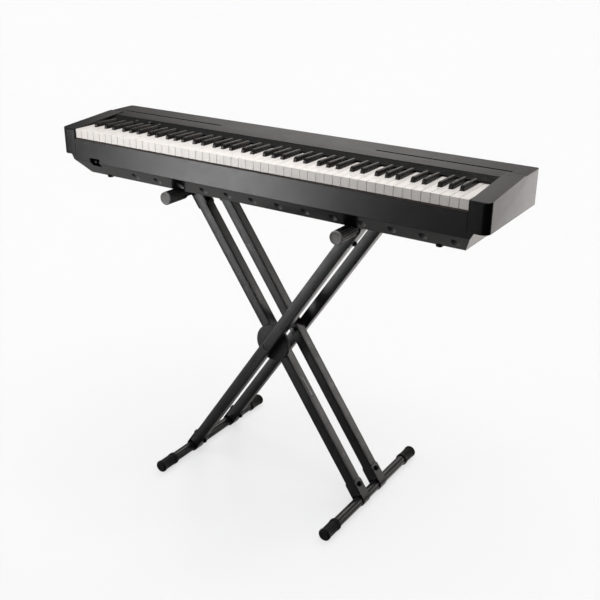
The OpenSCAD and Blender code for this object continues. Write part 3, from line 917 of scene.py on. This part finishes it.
def case_screws():
    """Pan-head screws with a cross recess, heads down in the pockets."""
    one, cross, bm = bmesh.new(), bmesh.new(), bmesh.new()
    place = at(move(0, 0, SCREW_Z), turn(pi, "X"))
    lathe(one, [(0, -10), (1.75, -10), (1.75, 0), (3.8, 0), (3.8, 0.9)]
          + arc(2.2, 0.8, 1.6, 0, 90, 5) + [(0, 2.4)], place, 32)
    arms = [-2.3, -0.45, 0.45, 2.3]
    cells(cross, arms, arms, [1.0, 4.0], place, lambda i, j, k: i == 1 or j == 1)
    me = to_mesh(combine(one, cross))
    for i in range(SCREWS):
        before = len(bm.verts)
        bm.from_mesh(me)
        bm.verts.ensure_lookup_table()
        spot = Vector((SCREW_X + i * SCREW_STEP, SCREW_Y, 0))
        bmesh.ops.translate(bm, verts=bm.verts[before:], vec=(KB + spot) * MM)
    piece("case_screws", bm, "zinc", "piano", sharp=30)


case_screws()

bm = bmesh.new()
for x in (-528, 528):
    for y in (-98, 122):
        lathe(bm, [(0, 0), (9, 0), (9, -2.2), (8.7, -4.6), (7.9, -5.7), (6.6, -6), (4.6, -6),
                   (4.2, -5.5), (0, -5.5)], in_case(x, y, DECK), 48)
piece("piano_feet", bm, "stand_rubber", "piano", sharp=40)


def front_panel():
    """Strip below the keys, cut away at its lower left for the recess."""
    bm = bmesh.new()
    low = SIDE - (SEAM - SILL) * (SIDE - SIDE_BASE) / (SEAM - DECK)
    x0, x1 = RECESS_X
    top = RECESS_Z[1]
    prism(bm, [(-INNER, SHELF), (-INNER, SEAM), (-SIDE, SEAM), (-low, SILL), (x0, SILL),
               (x0, top), (x1, top), (x1, SILL), (low, SILL), (SIDE, SEAM), (INNER, SEAM),
               (INNER, SHELF)], slab_y(KEYB), FRONT, FRONT + 3.8)
    piece("front_panel", bm, "case_black", "piano", bevel=0.9)


front_panel()


def key_felt():
    """Felt strip along the front panel, with a slightly wavy top."""
    bm, rings, n = bmesh.new(), [], 180
    y0, y1 = FRONT + 0.3, FRONT + 3.6
    for i in range(n + 1):
        x = -KEYS_W / 2 + KEYS_W * i / n
        top = 45.75 + 0.2 * sin(i * 1.7) * cos(i * 0.6)
        rings.append([KEYB(x, y, z) for y, z in
                      ((y0, SHELF), (y0, top - 0.5), (y0 + 0.5, top), (y1 - 0.5, top),
                       (y1, top - 0.5), (y1, SHELF))])
    loft(bm, rings)
    piece("key_felt", bm, "felt", "piano", sharp=50)


key_felt()


REAR_R = 8  # rear corners of the case, seen from above


def end_block(name, s):
    """Sloped cheek block with a rounded outer front corner."""
    bm, plan = bmesh.new(), bmesh.new()
    nose = 4.6
    side = [(FRONT, SEAM), (FRONT, 66.5)] + [
        (FRONT + nose - nose * cos(radians(a)), 66.5 + nose * sin(radians(a)))
        for a in (15, 30, 45, 60, 75)]
    side += [(-141.5, 71.0), (-20, 81.6), (54, 88), (57.6, 87.6), (59, ROOF), (REAR, ROOF),
             (REAR, SEAM)]
    prism(bm, side, slab_x(KEYB), s * CHEEK, s * OUT)
    outline = [(CHEEK - 1, FRONT)]
    outline += arc(OUT - 18, FRONT + 18, 18, -90, 0, 18)
    outline += arc(OUT - REAR_R, REAR - REAR_R, REAR_R, 0, 90, 10)
    outline += [(CHEEK - 1, REAR)]
    prism(plan, [(s * x, y) for x, y in outline], KEYB, -10, 100)
    bm = combine(bm, plan, "INTERSECT")
    piece(name, bm, "case_end", "piano", bevel=1.6, segments=4, angle=24)


end_block("end_block_right", 1)
end_block("end_block_left", -1)


def long_hole(x, y, half, r):
    """Outline of a round-ended slot."""
    return arc(x + half, y, r, -90, 90, 8) + arc(x - half, y, r, 90, 270, 8)


def top_panel():
    """Rear top plate over the full width, its front lip, and two speaker slots."""
    bm, rear_part, plan, cuts = (bmesh.new() for _ in range(4))
    prism(bm, [(27, 81), (27, 84.4), (61, 86.45), (63, 86.45), (63, ROOF), (58, ROOF),
               (58, 81)], slab_x(KEYB), -INNER, INNER)
    prism(rear_part, [(59.4, ROOF), (59.4, 85.8), (62, 86.4), (REAR, 87.2), (REAR, ROOF)],
          slab_x(KEYB), -OUT, OUT)
    outline = [(-OUT, 50), (OUT, 50)] + arc(OUT - REAR_R, REAR - REAR_R, REAR_R, 0, 90, 10)
    outline += arc(-OUT + REAR_R, REAR - REAR_R, REAR_R, 90, 180, 10)
    prism(plan, outline, KEYB, 80, 90)
    rear_part = combine(rear_part, plan, "INTERSECT")
    bm = combine(bm, rear_part, "UNION")
    for x in (-SPEAKER_X, SPEAKER_X):
        prism(cuts, long_hole(x, 79, SLOT_HALF, 4), KEYB, 80, 90)
    bm = combine(bm, cuts)
    piece("top_panel", bm, "case_top", "piano", bevel=0.7)


top_panel()

SLOPE = atan2(STRIP[1][1] - STRIP[0][1], STRIP[1][0] - STRIP[0][0])


def on_strip(x):
    """A placing function on the control strip, z off its surface."""
    (y0, z0), (y1, z1) = STRIP
    return in_case(x, (y0 + y1) / 2, (z0 + z1) / 2, turn(SLOPE, "X"))


def control_panel():
    (y0, z0), (y1, z1) = STRIP
    bm, cuts = bmesh.new(), bmesh.new()
    prism(bm, [(y0, z0 - 2.4), (y0, z0), (y1, z1), (y1, z1 - 3.1), (y0 + 3, z0 - 2.4)],
          slab_x(KEYB), -INNER, INNER)
    for x, r in ((POWER_X, 5.3), (FUNCTION_X, 4.3)):
        lathe(cuts, [(0, -10), (r, -10), (r, 10), (0, 10)], on_strip(x), 48)
    prism(cuts, long_hole(0, 0, 16.2, 1.8), on_strip(VOLUME_X), -10, 10)
    bm = combine(bm, cuts)
    piece("control_panel", bm, "panel_gloss", "piano", bevel=0.45)


control_panel()


def button(name, body, x, r):
    """Round button with a flange below the panel and a dished top."""
    bm = bmesh.new()
    lathe(bm, [(0, -6), (r + 1.2, -6), (r + 1.2, -4), (r, -4), (r, 0.35)]
          + arc(r - 0.6, 0.35, 0.6, 0, 80, 5) + [(r * 0.6, 0.86), (0, 0.75)], on_strip(x), 56)
    piece(name, bm, "control_grey", body, sharp=40)


button("power_button", "power", POWER_X, 5.0)
button("function_button", "function", FUNCTION_X, 4.0)

bm = bmesh.new()
knob = on_strip(VOLUME_X)
prism(bm, [(-4, 0.3), (-4, 1.7), (-3, 2.7), (-1, 2.75), (0, 2.2), (1, 2.75), (3, 2.7),
           (4, 1.7), (4, 0.3)], slab_x(knob), -3.5, 3.5)
cells(bm, [-1.5, 1.5], [-1.4, 1.4], [-6, 0.5], knob)
piece("volume_slider", bm, "control_grey", "volume", bevel=0.35, segments=2)

bm = bmesh.new()
(x0, x1), (z0, z1) = BACK_JACKS_X, BACK_JACKS_Z
prism(bm, [[(-INNER, SEAM), (INNER, SEAM), (INNER, ROOF), (-INNER, ROOF)],
           [(x0 - 0.2, z0 - 0.2), (x1 + 0.2, z0 - 0.2), (x1 + 0.2, z1 + 0.2),
            (x0 - 0.2, z1 + 0.2)]], slab_y(KEYB), REAR - 3, REAR)
clean(bm)
piece("rear_panel", bm, "case_black", "piano", bevel=0.8, segments=2)


def jack_block(name, xs, ys, zs, round_holes, mouth, square=None):
    """Moulded block with sockets that open at mouth, +1 to the back, -1 to the front."""
    bm, cuts = bmesh.new(), bmesh.new()
    cells(bm, xs, ys, zs, KEYB)
    face = ys[1] if mouth > 0 else ys[0]
    out = ALONG_Y if mouth > 0 else BACK_Y
    rings = []
    for x, z, r, deep in round_holes:
        place = in_case(x, face, z, out)
        lathe(cuts, [(0, -deep), (r, -deep), (r, 1), (0, 1)], place, 40)
        rings.append((place, r))
    if square:
        x, z, h = square
        cells(cuts, [x - h, x + h], [face - 9 * mouth, face + mouth][::mouth],
              [z - h + 0.5, z + h - 0.5], KEYB)
    bm = combine(bm, cuts)
    first = len(bm.faces)
    for place, r in rings:
        lathe(bm, [(r, -2), (r, 0.35), (r + 0.3, 0.48), (r + 1.7, 0.4), (r + 1.9, 0.1),
                   (r + 1.9, -2)], place, 40, closed=True)
    second_look(bm, first)
    piece(name, bm, "case_black black_bolt", "piano")


jack_block("rear_jacks", BACK_JACKS_X, (REAR - 22, REAR - 0.5), BACK_JACKS_Z,
           ((-505, 33, 3.2, 16), (-480, 33, 2.8, 10)), 1, (-452.5, 33, 6))
jack_block("headphone_jacks", RECESS_X, (FRONT + 12, FRONT + 29), RECESS_Z,
           ((-547, -17.5, 3.2, 14), (-529, -17.5, 3.2, 14)), -1)

# parts inside the case and the clutch keep their CAD shape
for node, mat in (("speakers", "bare_steel"), ("speaker_grilles", "grille_cloth"),
                  ("key_bed", "bare_steel"), ("key_rod", "bare_steel"),
                  ("main_board", "board"), ("clutch_lining", "lining")):
    data = frame["nodes"][node].data
    data.materials.clear()
    data.materials.append(MAT[mat])

# ---------------- keys
SHIFT = [None, -3, 3, None, -4.3, 0, 4.3]
C4 = 23  # white keys below it


def shift(n):
    """Offset of the black key on the boundary before white key n, or None."""
    return SHIFT[(n + 5) % 7] if 0 < n < WHITES else None


def key_x(n):
    """Left boundary of white key n, counted from 0."""
    return -KEYS_W / 2 + n * PITCH


def tail(n):
    """Left and right edge of white key n between its black neighbours."""
    left, right = shift(n), shift(n + 1)
    return (key_x(n) + (SIDE_GAP if left is None else NOTCH + left),
            key_x(n) + PITCH - (SIDE_GAP if right is None else NOTCH - right))


def lug(bm, mid, half):
    """Rear end of a key, pierced for the hinge rod."""
    r = 3.06  # clears the rod
    hole = [(ROD_Y + r * cos(2 * pi * i / 20),
             ROD_Z + r * sin(2 * pi * i / 20)) for i in range(20)]
    prism(bm, [[(KEY_REAR, ROD_Z - 6), (ROD_Y + 6, ROD_Z - 6), (ROD_Y + 6, KEY_TOP),
                (KEY_REAR, KEY_TOP)], hole], slab_x(KEYB), mid - half, mid + half)


def white_key(bm, n):
    """Head with a lip at the front, and a tail notched for the black keys."""
    x0, (t0, t1) = key_x(n), tail(n)
    xs = sorted({x0 + SIDE_GAP, t0, t1, x0 + PITCH - SIDE_GAP})
    ys = [KEY_FRONT, KEY_FRONT + 3, BLACK_FRONT - 1.5, KEY_REAR]
    zs = [LIP, KEY_TOP - 9, KEY_TOP]

    def inside(i, j, k):
        if k == 0:
            return j == 0
        return j < 2 or t0 <= (xs[i] + xs[i + 1]) / 2 <= t1

    cells(bm, xs, ys, zs, KEYB, inside)
    clean(bm, 0.1)


def black_key(bm, n):
    """Tapered key with a sloping, rounded nose, over a narrower tail."""
    x = key_x(n) + shift(n)
    rings = []
    for y, top, half in (
            (BLACK_FRONT, 70.0, 5.0), (BLACK_FRONT + 0.8, 76.5, 4.75),
            (BLACK_FRONT + 2.3, 80.3, 4.55), (BLACK_FRONT + 4.6, 82.4, 4.4),
            (BLACK_FRONT + 8.0, BLACK_TOP, 4.3), (BLACK_REAR, BLACK_TOP - 1.5, 4.3)):
        r = min(1.3, (top - BLACK_BASE) / 4)
        ring = [(-5.2, BLACK_BASE), (-half - 0.12, top - r)]
        for a in (150, 120, 90):
            a = radians(a)
            ring.append((-half + r + r * cos(a), top - r + r * sin(a)))
        ring += [(-u, v) for u, v in reversed(ring)]
        rings.append([KEYB(x + u, y, v) for u, v in ring])
    loft(bm, rings)
    cells(bm, [x - TAIL_HALF, x + TAIL_HALF], [BLACK_REAR, KEY_REAR], [BLACK_BASE, KEY_TOP], KEYB)
    lug(bm, x, TAIL_HALF)


def white_run(name, body, numbers):
    bm = bmesh.new()
    for n in numbers:
        one = bmesh.new()
        white_key(one, n)
        me = to_mesh(one)
        bm.from_mesh(me)
        bpy.data.meshes.remove(me)
        lug(bm, sum(tail(n)) / 2, 4.5)
    piece(name, bm, "key_white", body, bevel=0.65)


def black_run(name, body, numbers):
    bm = bmesh.new()
    for n in numbers:
        if shift(n) is not None:
            black_key(bm, n)
    piece(name, bm, "key_black", body, sharp=50)


white_run("bass_white_keys", "bass_keys", range(0, C4))
white_run("treble_white_keys", "treble_keys", range(C4 + 7, WHITES))
black_run("bass_black_keys", "bass_keys", range(1, C4))
black_run("treble_black_keys", "treble_keys", range(C4 + 8, WHITES))
for n, note in enumerate("cdefgab", C4):
    white_run(f"key_{note}4", f"key_{note}4_lever", [n])
    if note in "cdfga":
        black_run(f"key_{note}4_sharp", f"key_{note}4_sharp_lever", [n + 1])

# ---------------- stage
scene.view_settings.view_transform = "Standard"
scene.view_settings.look = "None"


def floor():
    s = Shader("floor", (0.5, 0.5, 0.5), 0.95, 0.0)
    s.vary(s.noise(0.4, 2), 0.998, 1.002)
    me = bpy.data.meshes.new("floor")
    far = 90.0  # metres
    me.from_pydata([(-far, -far, 0), (far, -far, 0), (far, far, 0), (-far, far, 0)], [],
                   [(0, 1, 2, 3)])
    me.materials.append(s.mat)
    obj = add("floor", me)
    obj.visible_glossy = False
    obj.visible_diffuse = False


def towards(azimuth, elevation):
    """Direction at an azimuth from -Y towards +X and an elevation, in degrees."""
    a, e = radians(azimuth), radians(elevation)
    return Vector((sin(a) * cos(e), -cos(a) * cos(e), sin(e)))


class Sky(Nodes):
    """A studio round the object: soft panels of light on a dim background."""

    def __init__(self, steps):
        scene.world = bpy.data.worlds.new("studio")
        scene.world.use_nodes = True
        super().__init__(scene.world.node_tree)
        self.way = self.node("ShaderNodeTexCoord").outputs["Generated"]
        split = self.node("ShaderNodeSeparateXYZ", {0: self.way}).outputs
        self.ahead, upward = split[1], split[2]
        self.total = steps[0][1]
        for (e0, l0), (e1, l1) in zip(steps, steps[1:]):
            part = self.smooth(upward, sin(radians(e0)),
                               sin(radians(e1)), l1 - l0)
            self.total = self.maths("ADD", part, self.total)

    def smooth(self, value, a, b, level):
        """Rises from 0 to the level as the value goes from a to b."""
        return self.node("ShaderNodeMapRange", {0: value, 1: a, 2: b, 3: 0.0, 4: level},
                         interpolation_type="SMOOTHSTEP").outputs[0]

    def dot(self, vector):
        return self.node("ShaderNodeVectorMath", {0: self.way, 1: vector},
                         operation="DOT_PRODUCT").outputs["Value"]

    def panel(self, azimuth, elevation, wide, high, soft, level):
        """Adds a soft rectangle; wide, high and soft are half angles in degrees."""
        c = towards(azimuth, elevation)
        side = towards(azimuth + 90, 0)
        up = side.cross(c)
        ahead = self.dot(c)
        mask = self.smooth(ahead, 0.05, 0.15, level)
        for axis, half in ((side, wide), (up, high)):
            off = self.maths("ABSOLUTE", self.maths("DIVIDE", self.dot(axis), ahead))
            mask = self.maths("MULTIPLY", mask, self.smooth(
                off, tan(radians(min(half + soft, 84))),
                tan(radians(max(half - soft, 0))), 1.0))
        self.total = self.maths("ADD", self.total, mask)

    def finish(self):
        """Neutral light at the front, slightly warm at the back; past the floor's edge
        the camera sees plain white."""
        seen = self.node("ShaderNodeLightPath").outputs["Is Camera Ray"]
        level = self.maths("MAXIMUM", self.total, 0.012)
        white = self.maths("SUBTRACT", 0.94, level)
        level = self.maths("ADD", level, self.maths("MULTIPLY", seen, white))
        warm = self.smooth(self.ahead, -0.2, 0.5, 1.0)
        warm = self.maths("MULTIPLY", warm, self.maths("SUBTRACT", 1.0, seen))
        back = self.tree.nodes["Background"]
        self.put(level, back.inputs["Strength"])
        self.put(self.blend(warm, (1.0, 1.0, 1.01), (1.03, 0.993, 0.965)), back.inputs["Color"])


floor()
sky = Sky([(-90, 0.12), (-25, 0.08), (-5, 0.06), (12, 0.09), (32, 0.15), (50, 0.22)])
for panel in (
        (-38.9, -0.5, 4.4, 21.5, 2.2, 6.7),  # front panel and fronts of the legs
        (-25, -1, 7, 21, 5, 0.3),  # a little more beside it
        (176, -18, 25, 21, 7, 1.82),  # right end, right faces of the legs
        (-167, -24, 7, 8, 4, -1.7),  # dark gap, for the bevel's right half
        (-149, 18.5, 9, 12.5, 10, 0.9),  # the top plate
        (141, 16, 6, 7, 3, 4.2),  # right faces of the inner legs
        (-167, 45, 7, 4, 3, 7.0),  # glints on the black keys
        (-114, -48, 30, 22, 12, 0.25),  # the bevel under the front
        (60, -5, 58, 24, 10, -0.4)):  # darker at the front right
    sky.panel(*panel)
sky.finish()


def linked(obj, state):
    """Lets a light reach only the floor, or everything but the floor."""
    group = bpy.data.collections.new(obj.name + "_reach")
    group.objects.link(bpy.data.objects["floor"])
    group.collection_objects[0].light_linking.link_state = state
    obj.light_linking.receiver_collection = group


def lamp(name, kind, power, where, target):
    """Adds a light that points from where it is to a target."""
    data = bpy.data.lights.new(name, kind)
    data.energy = power
    obj = add(name, data)
    obj.location = where
    obj.rotation_euler = (Vector(target) - Vector(where)).to_track_quat("-Z", "Y").to_euler()
    return obj


# two lamps for the floor, of which one throws the shadow
for name, power, shadow in (("floor_wash", 4.7, False), ("floor_shade", 0.5, True)):
    wash = lamp(name, "SUN", power, (0, 0, 4), (0, 0.01, 0))
    wash.data.angle = 1.2
    wash.data.color = (0.997, 1.0, 1.003)
    wash.data.use_shadow = shadow
    linked(wash, "INCLUDE")
# three lamps for the keys and the top, which leave the floor alone
for name, power, where, target, size, spread in (
        ("key_left", 5, (-1.45, -0.95, 1.45), (-0.6, -0.2, 0.95), 0.6, 180),
        ("key_front", 2.55, (-0.42, -0.95, 1.3), (-0.36, -0.15, 0.98), 0.5, 130),
        ("key_top", 15.5, (0.06, -0.35, 2.1), (0.06, -0.2, 1.0), 1.4, 180)):
    key = lamp(name, "AREA", power, where, target)
    key.data.shape, key.data.size, key.data.size_y = "RECTANGLE", size, 0.6
    key.data.spread = radians(spread)
    key.visible_camera = key.visible_glossy = False
    linked(key, "EXCLUDE")

# the camera, fitted to the photograph
yaw, pitch, roll = 0.586993, 0.405219, 0.005532
eye = Vector((1.35771, -1.97576, 1.58528))
back = Vector((sin(yaw) * cos(pitch), -cos(yaw) * cos(pitch), sin(pitch)))
right = Vector((cos(yaw), sin(yaw), 0))
up = back.cross(right)
r = cos(roll) * right + sin(roll) * up
u = -sin(roll) * right + cos(roll) * up
cam = bpy.data.cameras.new("camera")
cam.sensor_width = 36
cam.lens = 54.224
cam.clip_end = 400
camera = add("camera", cam)
camera.matrix_world = Matrix.Translation(eye) @ Matrix((r, u, back)).transposed().to_4x4()
scene.camera = camera
